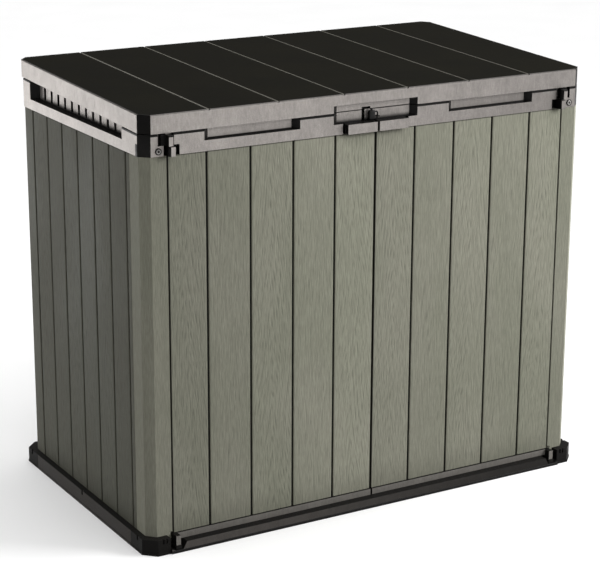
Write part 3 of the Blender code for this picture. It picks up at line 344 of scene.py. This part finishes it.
def black_resin(name, colour, roughness, specular=0.12, groove=None, side_grey=None):
    """Black moulded resin with a fine leathery texture.
    groove: the lid's top at the middle of the box, below which its grooves carry a painted highlight.
    side_grey: the colour of the upright faces that look away from the box."""
    s = Surface(name, roughness, specular)
    pebble = s.noise((700.0, 700.0, 700.0), 3.0)
    cloud = s.noise((7.0, 7.0, 7.0), 4.0, 4.0)
    streak = s.noise((260.0, 14.0, 260.0), 4.0, 6.0)
    light = s.ramp(cloud, 0.30, 0.70, 0.86, 1.14)
    light = s.maths("MULTIPLY", light, s.ramp(pebble, 0.3, 0.7, 0.88, 1.12))
    shown = s.shade(colour, light)
    if groove is not None:
        x, y, z = s.axes(s.position)
        top = s.maths("ADD", groove, s.maths("MULTIPLY", y, SLOPE))
        depth = s.maths("SUBTRACT", top, z)
        sunk = s.maths("MULTIPLY", s.ramp(depth, 0.0002, 0.0009), s.ramp(depth, 0.006, 0.0045))
        inner = s.ramp(s.maths("ABSOLUTE", x), LID_HIGH.x - 0.012, LID_HIGH.x - 0.016)
        # Painted highlight in the grooves.
        shown = s.mix(s.maths("MULTIPLY", sunk, inner), shown, GROOVE_HIGHLIGHT)
    if side_grey is not None:
        shown = s.mix(outward(s, 0.70)[0], shown, s.shade(side_grey, light))
    height = s.maths("ADD", pebble, s.maths("MULTIPLY", streak, 0.8))
    return s.finish(shown, cloud, height, 0.0005)


def metal(name, colour, roughness, metallic, specular=0.5):
    s = Surface(name, roughness, specular, metallic)
    brushed = s.noise((300.0, 300.0, 300.0), 3.0)
    cloud = s.noise((60.0, 60.0, 60.0), 3.0, 4.0)
    light = s.ramp(brushed, 0.3, 0.7, 0.88, 1.1)
    light = s.maths("MULTIPLY", light, s.ramp(cloud, 0.3, 0.7, 0.9, 1.1))
    return s.finish(s.shade(colour, light), cloud, brushed, 0.0001)


COAT = rgb(0.36, 0.334, 0.314)
# Darker copies of the coat, painted shade near the floor: the doors' bottom trims and the sill.
SHADED_LOW_COAT = rgb(0.205, 0.193, 0.176)
SHADED_SILL_COAT = rgb(0.068, 0.062, 0.057)
BLACK = rgb(0.0085, 0.0078, 0.0072)
LID_BLACK = rgb(0.0092, 0.0086, 0.0062)

PLANKS = green_planks("planks_moulded")
# Painted light and shade: the front posts' side faces lighter than their fronts; the rear posts
# darker, their side faces most.
PLAIN_GREEN = green_planks("planks_plain", (1.0, 1.17))
REAR_SHADED_GREEN = green_planks("planks_rear_shaded", (0.80, 0.54))

# Painted light and shade: how light the coat is at the left and right ends of the box.
FRONT_FALL = (1.0, 0.64)
TRIM_FALL = (1.0, 0.56)
SILL_FALL = (1.40, 0.26)

# Places left black, each as ranges in metres: bare resin, and painted shade at the back of the
# tongue's slot and on the pulls' top step. "away" is the distance from the middle.
CARRIER = (("away", 0.6325, 0.6515), ("y", -0.4010, -0.3900), ("z", 1.1222, 1.20))
# Painted shade at the back of the tongue's slot.
TONGUE_SLOT_SHADE = (("x", -0.0380, -0.0095), ("y", -0.3835, -0.3770))
LUG = (("y", -0.4000, -0.3852),)
# Painted shade on the step at the top of the pulls, under the centre recess.
PULL_STEP_SHADE = (
    ("away", -1.0, 0.0975),
    ("y", -0.4010, -0.3940),
    ("z", PULL_TOP - 0.0020, PULL_TOP + 0.0020),
)
FLANGE = (("z", -1.0, 0.0078),)
TRIM_COAT = coated_trim(
    "trim_coat",
    COAT,
    0.6,
    0.42,
    side_from=0.675,
    recess_floor=PULL_TOP,
    gap=SEAM_SHADE_FROM,
    bare=[PULL_STEP_SHADE],
    fall=TRIM_FALL,
)
TONGUE_COAT = coated_trim(
    "tongue_coat", COAT, 0.6, 0.42, recess_floor=PULL_TOP, bare=[LUG], fall=FRONT_FALL
)
LID_COAT = coated_trim(
    "lid_coat", COAT, 0.6, 0.42, edges=0.45, bare=[TONGUE_SLOT_SHADE], fall=FRONT_FALL
)
CORNER_COAT = coated_trim(
    "corner_coat", COAT, 0.6, 0.42, side_from=0.9, gap=SEAM_SHADE_FROM, bare=[CARRIER], fall=FRONT_FALL
)
LOW_TRIM = coated_trim("low_trim_coat", SHADED_LOW_COAT, 0.2, 0.50, side_from=0.9)
SILL = coated_trim("sill_coat", SHADED_SILL_COAT, 0.2, 0.50, side_from=0.9, bare=[FLANGE], fall=SILL_FALL)
RESIN = black_resin("black_resin", BLACK, 0.48, 0.07)
RAIL_RESIN = black_resin("rail_resin", BLACK, 0.48, 0.07, side_grey=rgb(0.060, 0.054, 0.049))
LID_RESIN = black_resin("lid_resin", LID_BLACK, 0.62, 0.02, groove=TOP_AT_CENTRE)
STEEL = metal("dark_steel", rgb(0.20, 0.20, 0.195), 0.38, 0.8)
SCREW = metal("screw_steel", rgb(0.27, 0.26, 0.25), 0.45, 0.6)
LOCK = metal("black_lock", rgb(0.0075, 0.0072, 0.0068), 0.42, 0.0, 0.18)

SPECIAL = {
    "corner_post_rear_left": REAR_SHADED_GREEN,
    "corner_post_rear_right": REAR_SHADED_GREEN,
    "lid_rim_front": LID_COAT,
    "lid_rim_rear": LID_COAT,
    "lid_rim_left": LID_COAT,
    "lid_rim_right": LID_COAT,
    "header_corner_front_left": CORNER_COAT,
    "header_corner_front_right": CORNER_COAT,
    "base_rail_front": SILL,
    "door_bottom_trim_left": LOW_TRIM,
    "door_bottom_trim_right": LOW_TRIM,
    "base_rail_left": RAIL_RESIN,
    "base_rail_right": RAIL_RESIN,
    "base_rail_rear": RAIL_RESIN,
    "lock_tongue": TONGUE_COAT,
    "lid_top_panel": LID_RESIN,
    "top_hinge_screw_left": SCREW,
    "top_hinge_screw_right": SCREW,
}
BY_SLOT = {
    "green_plank": PLAIN_GREEN,
    "beige_trim": TRIM_COAT,
    "black_plastic": RESIN,
    "dark_steel": STEEL,
    "black_lock": LOCK,
}


def material_for(name, node):
    if name in SPECIAL:
        return SPECIAL[name]
    return BY_SLOT[node.data.materials[0].name]


def dress(name, node):
    """A CAD node's own material, welded faces and softened edges."""
    finish = material_for(name, node)
    node.data.materials.clear()
    node.data.materials.append(finish)
    weld = node.modifiers.new("weld", "WELD")
    weld.merge_threshold = 0.00002
    if finish in (STEEL, SCREW, LOCK):
        return
    bevel = node.modifiers.new("edges", "BEVEL")
    bevel.width = EDGE_BEVEL
    bevel.segments = 2
    bevel.limit_method = "ANGLE"
    bevel.angle_limit = math.radians(32)
    bevel.use_clamp_overlap = True
    bevel.harden_normals = True


# ---- moulded plank walls -------------------------------------------------------------------


def ripple(u, z, seed, across, along, count=7):
    """Smooth noise from about -1 to 1, with features of the given sizes across and along a plank."""
    draw = np.random.default_rng(seed)
    total = np.zeros(np.broadcast(u, z).shape)
    for _ in range(count):
        fu, fz = draw.uniform(0.4, 1.4, 2) * (2 * math.pi / across, 2 * math.pi / along)
        sign, turn = draw.choice((-1, 1)), draw.uniform(0, 2 * math.pi)
        total = total + np.sin(fu * u + sign * fz * z + turn)
    return total / math.sqrt(count)


def grain(u, z, seed, arched):
    """How deep the moulded grain is, from 0 to 1. u runs across the plank from its middle."""
    drift = ripple(u, z, seed, 0.09, 0.55)
    if arched:
        middle = 0.010 * ripple(np.zeros_like(u), z, seed + 1, 1.0, 0.9)
        reach = np.abs(u - middle) / 0.0095
        ring = z / 0.052 + reach**1.15 + 0.7 * drift
    else:
        ring = u / 0.0085 + 1.1 * drift
    line = (0.5 + 0.5 * np.cos(2 * math.pi * ring)) ** 2
    broken = np.clip(0.50 + 0.55 * ripple(u, z, seed + 2, 0.011, 0.14), 0, 1)
    ticks = np.clip(ripple(u, z, seed + 3, 0.007, 0.045) - 0.9, 0, 1)
    return np.clip(line * broken * (0.95 if arched else 0.6) + 0.5 * ticks, 0, 1)


def wall_columns(start, end, grooves):
    """Positions across a wall, each with how far it is into a groove, from 0 to 1."""
    edges = [start] + [g + side * GROOVE_HALF for g in grooves for side in (-1, 1)] + [end]
    columns = []
    for number in range(0, len(edges), 2):
        low, high = edges[number], edges[number + 1]
        steps = max(2, round((high - low) / PLANK_PITCH))
        columns += [(low + (high - low) * step / steps, 0.0) for step in range(steps + 1)]
        if number + 2 < len(edges):
            middle = grooves[number // 2]
            flat = GROOVE_HALF - GROOVE_WALL
            columns += [(middle - flat, 1.0), (middle + flat, 1.0)]
    return columns


def plank_wall(
    node, place, start, end, thickness, grooves, seed, shades, inner_grooves=(), dark_ends=False
):
    """A wall of planks: place(u, w, z) puts a point that is u across and w inward of the outer face.
    shades: how light the first and the last plank are, as painted light and shade.
    dark_ends: the wall's two ends carry the same painted shade as a groove, for the shade in the gaps
    beside them."""
    low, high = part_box(node)
    columns = wall_columns(start, end, grooves)
    u = np.array([column[0] for column in columns])
    groove = np.array([column[1] for column in columns])
    rows = np.linspace(low.z, high.z, max(2, round((high.z - low.z) / ROW_PITCH)) + 1)
    grid_u, grid_z = np.meshgrid(u, rows)
    depth = np.zeros_like(grid_u)
    tone_and_shade = np.ones_like(grid_u)
    bounds = [start, *grooves, end]
    draw = np.random.default_rng(seed)
    for number in range(len(bounds) - 1):
        left, right = bounds[number], bounds[number + 1]
        inside = (u >= left) & (u <= right) & (groove == 0)
        across = grid_u[:, inside] - (left + right) / 2
        arched = (number + seed) % 2 == 0
        depth[:, inside] = grain(across, grid_z[:, inside], seed * 50 + number * 5, arched)
        dark = depth[:, inside] ** 2 * (3 - 2 * depth[:, inside])
        # Painted light and shade, from the first plank to the last.
        shade = shades[0] + (shades[1] - shades[0]) * number / (len(bounds) - 2)
        tone_and_shade[:, inside] = shade * draw.uniform(0.98, 1.02) / (1.04 - 0.32 * dark.mean())
    to_edge = np.minimum(u - start, end - u)
    for middle in grooves:
        to_edge = np.minimum(to_edge, np.maximum(np.abs(u - middle) - GROOVE_HALF, 0))
    depth *= np.clip(to_edge / GRAIN_MARGIN, 0, 1)
    rounding_width, rounding_depth = PLANK_ROUNDING
    rounding = rounding_depth * np.clip(1 - to_edge / rounding_width, 0, 1) ** 2
    inward = depth * GRAIN_DEPTH + GROOVE_DEPTH * groove + rounding
    mouth, floor, sunk = INNER_GROOVE
    back = [(end, thickness)]
    for middle in sorted(inner_grooves, reverse=True):
        back += [(middle + mouth, thickness), (middle + floor, thickness - sunk)]
        back += [(middle - floor, thickness - sunk), (middle - mouth, thickness)]
    back.append((start, thickness))

    ring = len(u) + len(back)
    # Painted shade for the planks' material: the grooves, and the ends when asked for.
    groove_and_end_shade = groove.copy()
    if dark_ends:
        groove_and_end_shade[0] = groove_and_end_shade[-1] = 1.0
    points, marks = [], []
    for row, z in enumerate(rows):
        points += [place(a, w, z) for a, w in zip(u, inward[row])]
        points += [place(a, w, z) for a, w in back]
        marks += list(zip(depth[row], groove_and_end_shade, tone_and_shade[row])) + [(0.0, 0.0, 1.0)] * len(back)
    faces = []
    for row in range(len(rows) - 1):
        here, above = row * ring, (row + 1) * ring
        for k in range(ring):
            follow = (k + 1) % ring
            faces.append((here + k, here + follow, above + follow, above + k))
    faces.append(tuple(range(ring))[::-1])
    faces.append(tuple(range((len(rows) - 1) * ring, len(rows) * ring)))

    mesh = bpy.data.meshes.new(f"{node}_planks")
    mesh.from_pydata(points, [], faces)
    for column, name in enumerate(("grain", "groove", "tone_and_shade")):
        layer = mesh.attributes.new(name, "FLOAT", "POINT")
        layer.data.foreach_set("value", [mark[column] for mark in marks])
    tidy = bmesh.new()
    tidy.from_mesh(mesh)
    bmesh.ops.recalc_face_normals(tidy, faces=tidy.faces)
    tidy.to_mesh(mesh)
    tidy.free()
    mesh.shade_smooth()
    mesh.set_sharp_from_angle(angle=math.radians(30))
    mesh.materials.append(PLANKS)
    wall = bpy.data.objects.new(f"{node}_planks", mesh)
    bpy.context.scene.collection.objects.link(wall)
    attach(wall, NODES[node]["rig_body"])
    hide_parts(node)


def plank_walls():
    for name, side in SIDES:
        node = f"door_panel_{name}"
        low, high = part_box(node)
        inner, outer = sorted((abs(low.x), abs(high.x)))
        panel = lambda u, w, z: (side * u, low.y + w, z)
        ribs = [(a + b) / 2 for a, b in zip((inner, *DOOR_GROOVES), (*DOOR_GROOVES, outer))]
        thickness, seed = high.y - low.y, 3 + side
        shades = DOOR_SHADES[name]
        plank_wall(node, panel, inner, outer, thickness, DOOR_GROOVES, seed, shades, ribs, True)

    for name, side in SIDES:
        node = f"side_wall_{name}"
        low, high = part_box(node)
        outer_x = side * max(abs(low.x), abs(high.x))
        wall = lambda u, w, z: (outer_x - side * w, u, z)
        thickness, seed = high.x - low.x, 11 + side
        plank_wall(node, wall, low.y, high.y, thickness, SIDE_GROOVES, seed, SIDE_SHADES)

    low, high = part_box("rear_wall")
    rear = lambda u, w, z: (u, high.y - w, z)
    thickness, seed = high.y - low.y, 21
    plank_wall("rear_wall", rear, low.x, high.x, thickness, REAR_GROOVES, seed, REAR_SHADES)


# ---- ribs under the lid --------------------------------------------------------------------


def lid_ribs():
    """The moulded rib grid under the lid's plank panel."""
    shape = bmesh.new()
    bars = [((x - RIB_HALF, x + RIB_HALF), (-0.370, 0.380)) for x in np.linspace(-0.60, 0.60, 9)]
    bars += [((-0.600, 0.600), (y - RIB_HALF, y + RIB_HALF)) for y in np.linspace(-0.36, 0.36, 6)]
    for x, y in bars:
        made = bmesh.ops.create_cube(shape, size=1.0)["verts"]
        for vertex in made:
            vertex.co.x = x[0] if vertex.co.x < 0 else x[1]
            vertex.co.y = y[0] if vertex.co.y < 0 else y[1]
            top = TOP_AT_CENTRE + SLOPE * vertex.co.y - RIB_TOP_BELOW_LID
            vertex.co.z = top - (0.0 if vertex.co.z > 0 else RIB_HEIGHT)
    mesh = bpy.data.meshes.new("lid_ribs")
    shape.to_mesh(mesh)
    shape.free()
    mesh.materials.append(RESIN)
    ribs = bpy.data.objects.new("lid_ribs", mesh)
    bpy.context.scene.collection.objects.link(ribs)
    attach(ribs, "lid")


# ---- padlock and hinge screws --------------------------------------------------------------


def new_object(name, shape, material):
    """A new object from a bmesh, smooth except across sharp edges."""
    bmesh.ops.recalc_face_normals(shape, faces=shape.faces)
    mesh = bpy.data.meshes.new(name)
    shape.to_mesh(mesh)
    shape.free()
    mesh.shade_smooth()
    mesh.set_sharp_from_angle(angle=math.radians(35.0))
    mesh.materials.append(material)
    made = bpy.data.objects.new(name, mesh)
    bpy.context.scene.collection.objects.link(made)
    return made


def turned(shape, profile, place, segments=32):
    """Adds a body of revolution: profile is (radius, height), and place(x, y, z) puts a point."""
    rings = []
    for radius, height in profile:
        if radius == 0:
            rings.append([shape.verts.new(place(0.0, 0.0, height))])
            continue
        angles = [2 * math.pi * step / segments for step in range(segments)]
        circle = [(radius * math.cos(a), radius * math.sin(a), height) for a in angles]
        rings.append([shape.verts.new(place(*point)) for point in circle])
    for below, above in zip(rings, rings[1:]):
        for k in range(segments):
            follow = (k + 1) % segments
            corners = [below[k % len(below)], below[follow % len(below)]]
            corners += [above[follow % len(above)], above[k % len(above)]]
            shape.faces.new(list(dict.fromkeys(corners)))


def swept(shape, route, radius, segments=16):
    """Adds a closed round wire along a route in a plane of constant y, with flat ends."""
    rings = []
    for number, point in enumerate(route):
        before, after = route[max(number - 1, 0)], route[min(number + 1, len(route) - 1)]
        along = (after - before).normalized()
        side = along.cross(Vector((0, 1, 0))).normalized()
        angles = [2 * math.pi * step / segments for step in range(segments)]
        ways = [side * math.cos(a) + Vector((0, 1, 0)) * math.sin(a) for a in angles]
        rings.append([shape.verts.new(point + radius * way) for way in ways])
    for below, above in zip(rings, rings[1:]):
        for k in range(segments):
            follow = (k + 1) % segments
            shape.faces.new([below[k], below[follow], above[follow], above[k]])
    shape.faces.new(rings[0])
    shape.faces.new(rings[-1])


def padlock():
    low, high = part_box("padlock_body")
    middle_y = (low.y + high.y) / 2
    shoulder = high.z - NUB_HEIGHT
    shape = bmesh.new()
    made = bmesh.ops.create_cube(shape, size=1.0)["verts"]
    for vertex in made:
        vertex.co = Vector(
            (
                low.x if vertex.co.x < 0 else high.x,
                low.y if vertex.co.y < 0 else high.y,
                low.z if vertex.co.z < 0 else shoulder,
            )
        )
    edges = list(shape.edges)
    bmesh.ops.bevel(
        shape, geom=edges, offset=LOCK_ROUNDING, segments=4, profile=0.5, affect="EDGES"
    )
    nub_x = (low.x + high.x) / 2
    tip = high.z
    profile = [
        (0, shoulder - 0.002),
        (NUB_RADIUS, shoulder - 0.002),
        (NUB_RADIUS, shoulder + 0.001),
        (NUB_RADIUS * 0.72, shoulder + 0.003),
        (NUB_RADIUS * 0.85, tip - 0.003),
        (NUB_RADIUS * 0.5, tip - 0.0006),
        (0, tip),
    ]
    turned(shape, profile, lambda x, y, z: (nub_x + x, middle_y + y, z), 20)
    body = new_object("padlock_case", shape, LOCK)
    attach(body, NODES["padlock_body"]["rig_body"])
    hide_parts("padlock_body")

    low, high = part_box("padlock_shackle")
    wire = (high.y - low.y) / 2
    bottom, top = low.z + wire, high.z - wire
    corner_x, middle_y = high.x - wire - SHACKLE_BEND, (low.y + high.y) / 2
    lower = [Vector((low.x, middle_y, bottom))]
    for step in range(9):
        turn = math.pi / 2 * step / 8
        across, rise = SHACKLE_BEND * math.sin(turn), SHACKLE_BEND * (1 - math.cos(turn))
        lower.append(Vector((corner_x + across, middle_y, bottom + rise)))
    upper = [Vector((point.x, middle_y, top + bottom - point.z)) for point in reversed(lower)]
    shape = bmesh.new()
    swept(shape, [*lower, *upper], wire)
    hoop = new_object("padlock_hoop", shape, LOCK)
    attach(hoop, NODES["padlock_shackle"]["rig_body"])
    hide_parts("padlock_shackle")


def hinge_screws():
    """Each hinge screw: a dark washer ring, a bright domed head and a dark six-sided socket."""
    for name, _ in SIDES:
        node = f"top_hinge_screw_{name}"
        low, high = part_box(node)
        centre, radius = (low + high) / 2, (high.x - low.x) / 2
        face = high.y
        out = high.y - low.y
        place = lambda x, y, z: (centre.x + x, face - z, centre.z + y)
        ring = bmesh.new()
        profile = [(0, 0), (radius, 0), (radius, out * 0.7), (radius * 0.93, out)]
        profile += [(radius * 0.80, out), (radius * 0.76, out * 0.6), (0, out * 0.6)]
        turned(ring, profile, place, 40)
        washer = new_object(f"hinge_washer_{name}", ring, RESIN)
        head = bmesh.new()
        profile = [(0, out * 0.55), (radius * 0.72, out * 0.55), (radius * 0.72, out * 0.85)]
        profile += [(radius * 0.66, out * 0.98), (radius * 0.40, out)]
        turned(head, profile, place, 40)
        rim = [vertex for vertex in head.verts if abs(face - vertex.co.y - out) < 1e-6]
        head.faces.new(sorted(rim, key=lambda v: math.atan2(v.co.z - centre.z, v.co.x - centre.x)))
        bright = new_object(f"hinge_screw_{name}", head, SCREW)
        pit = bmesh.new()
        profile = [(0, out * 0.9), (radius * 0.40, out * 0.9)]
        profile += [(radius * 0.40, out + 0.0001), (0, out + 0.0001)]
        turned(pit, profile, place, 6)
        socket = new_object(f"hinge_socket_{name}", pit, RESIN)
        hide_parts(node)
        for piece in (washer, bright, socket):
            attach(piece, "box")


# ---- studio --------------------------------------------------------------------------------


CAMERA_PLACE = (-2.7888, -4.7453, 2.1972)
CAMERA_ANGLES = (0.5309, 0.2922, 0.0042)  # azimuth, elevation and roll in radians
CAMERA_LENS = 116.08
SKY_HEIGHTS = (0.30, 1.0)  # as the upward part of a direction
SKY_STRENGTHS = (0.10, 1.8)


def studio():
    """A pale floor, and a sky that lights the box from above."""
    mesh = bpy.data.meshes.new("studio_floor")
    far = 60.0
    corners = [(-far, -far, 0), (far, -far, 0), (far, far, 0), (-far, far, 0)]
    mesh.from_pydata(corners, [], [(0, 1, 2, 3)])
    pale = Surface("pale_floor", 0.8, 0.1)
    speck = pale.noise((3.0, 3.0, 3.0), 2.0)
    white = pale.shade(rgb(0.97, 0.97, 0.97), pale.ramp(speck, 0.3, 0.7, 0.99, 1.0))
    mesh.materials.append(pale.finish(white, speck, speck, 0.0001))
    floor = bpy.data.objects.new("studio_floor", mesh)
    floor.visible_diffuse = False
    bpy.context.scene.collection.objects.link(floor)

    world = bpy.data.worlds.new("studio")
    bpy.context.scene.world = world
    world.use_nodes = True
    tree = world.node_tree
    light = tree.nodes["Background"]
    place = tree.nodes.new("ShaderNodeTexCoord")
    split = tree.nodes.new("ShaderNodeSeparateXYZ")
    fade = tree.nodes.new("ShaderNodeMapRange")
    fade.interpolation_type = "SMOOTHSTEP"
    for number, value in enumerate((*SKY_HEIGHTS, *SKY_STRENGTHS), 1):
        fade.inputs[number].default_value = value
    tree.links.new(place.outputs["Generated"], split.inputs[0])
    tree.links.new(split.outputs[2], fade.inputs[0])
    # The lighting dims towards the horizon, but behind the box the studio is white all over.
    seen = tree.nodes.new("ShaderNodeLightPath")
    strength = tree.nodes.new("ShaderNodeMath")
    strength.operation = "MAXIMUM"
    tree.links.new(fade.outputs[0], strength.inputs[0])
    tree.links.new(seen.outputs["Is Camera Ray"], strength.inputs[1])
    tree.links.new(strength.outputs[0], light.inputs["Strength"])
    light.inputs["Color"].default_value = (1.0, 1.0, 1.0, 1.0)


def area_light(name, place, target, size, power):
    lamp = bpy.data.lights.new(name, "AREA")
    lamp.shape = "RECTANGLE"
    lamp.size, lamp.size_y = size
    lamp.energy = power
    made = bpy.data.objects.new(name, lamp)
    made.location = place
    made.rotation_mode = "QUATERNION"
    made.rotation_quaternion = (Vector(target) - Vector(place)).to_track_quat("-Z", "Y")
    made.visible_camera = False
    bpy.context.scene.collection.objects.link(made)


def camera():
    azimuth, elevation, roll = CAMERA_ANGLES
    forward = Vector(
        (
            math.sin(azimuth) * math.cos(elevation),
            math.cos(azimuth) * math.cos(elevation),
            -math.sin(elevation),
        )
    )
    right = forward.cross(Vector((0, 0, 1))).normalized()
    up = right.cross(forward)
    across = right * math.cos(roll) + up * math.sin(roll)
    upward = up * math.cos(roll) - right * math.sin(roll)
    data = bpy.data.cameras.new("camera")
    data.sensor_width = 36.0
    data.lens = CAMERA_LENS
    data.clip_start, data.clip_end = 0.05, 200.0
    made = bpy.data.objects.new("camera", data)
    turn = Matrix((across, upward, -forward)).transposed()
    made.matrix_world = Matrix.Translation(CAMERA_PLACE) @ turn.to_4x4()
    bpy.context.scene.collection.objects.link(made)
    bpy.context.scene.camera = made


# ---- build ---------------------------------------------------------------------------------

for node_name, cad_node in NODES.items():
    dress(node_name, cad_node)
plank_walls()
lid_ribs()
padlock()
hinge_screws()
studio()
area_light("key", (2.9, -2.4, 2.3), (0.1, -0.4, 0.7), (1.6, 1.6), 135.0)
area_light("left_card", (-1.7, 2.2, 0.55), (-0.7, 0, 1.0), (0.9, 0.9), 8.0)
camera()
bpy.context.scene.view_settings.view_transform = "Standard"
